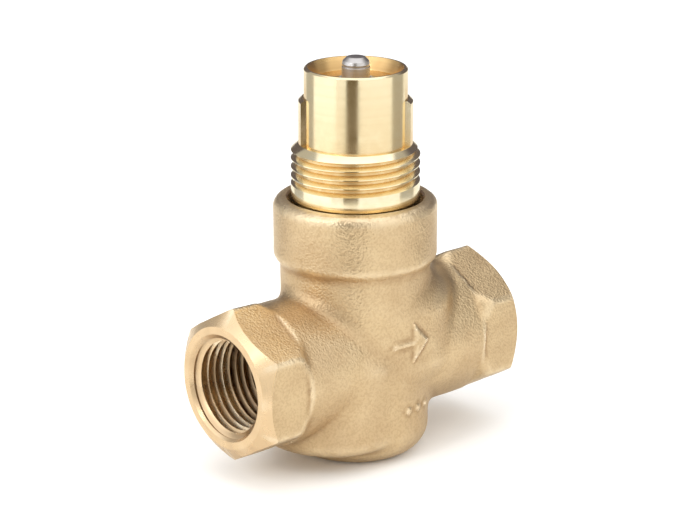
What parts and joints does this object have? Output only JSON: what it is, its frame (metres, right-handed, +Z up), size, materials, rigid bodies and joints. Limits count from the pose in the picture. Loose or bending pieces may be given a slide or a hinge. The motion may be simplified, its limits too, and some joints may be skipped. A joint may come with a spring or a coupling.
{
  "type": "two-port globe valve body with bonnet",
  "caption": "Straight-through threaded globe valve: cast brass body with hexagon ends, turned threaded bonnet and a spring-returned stem with a soft-faced plug.",
  "frame": {"origin": "centre of the flat base of the casting, directly under the stem axis, with the pipe axis 21 mm above it", "axes": "+X along the pipe axis from the inlet port towards the outlet port, +Z up along the stem axis, +Y completes the right-handed set"},
  "size_m": [0.07, 0.0336, 0.0833],
  "materials": {
    "cast_brass": "fine sand-cast skin, satin, warm golden",
    "turned_brass": "bright fine-turned, pale golden",
    "bright_steel": "ground and polished stainless",
    "spring_steel": "drawn stainless wire and stamped strip",
    "seal_rubber": "matt black moulded elastomer",
    "guide_polymer": "off-white low-friction polymer",
    "gasket_fibre": "compressed fibre sheet"
  },
  "bodies": {
    "housing": {"valve_body": "cast_brass", "seat_ring": "bright_steel", "bonnet": "turned_brass", "bonnet_gasket": "gasket_fibre", "bonnet_oring": "seal_rubber", "gland_nut": "turned_brass", "wiper_ring": "guide_polymer", "upper_stem_oring": "seal_rubber", "seal_spacer": "turned_brass", "lower_stem_oring": "seal_rubber", "backup_washer": "guide_polymer", "guide_bush": "guide_polymer", "return_spring": "spring_steel", "spring_seat": "spring_steel", "seat_clip": "spring_steel"},
    "stem_assembly": {"stem": "bright_steel", "stem_clip": "spring_steel", "spring_retainer": "spring_steel", "plug": "turned_brass", "seat_disc": "seal_rubber", "disc_washer": "bright_steel", "disc_nut": "bright_steel"}
  },
  "joints": [
    {"name": "stem_slide", "type": "slide", "parent": "housing", "child": "stem_assembly", "axis": [0, 0, 1], "range_m": [-0.003, 0], "stiffness_N_per_m": 4500, "springref_m": 0.004, "deforming": ["return_spring"]}
  ]
}
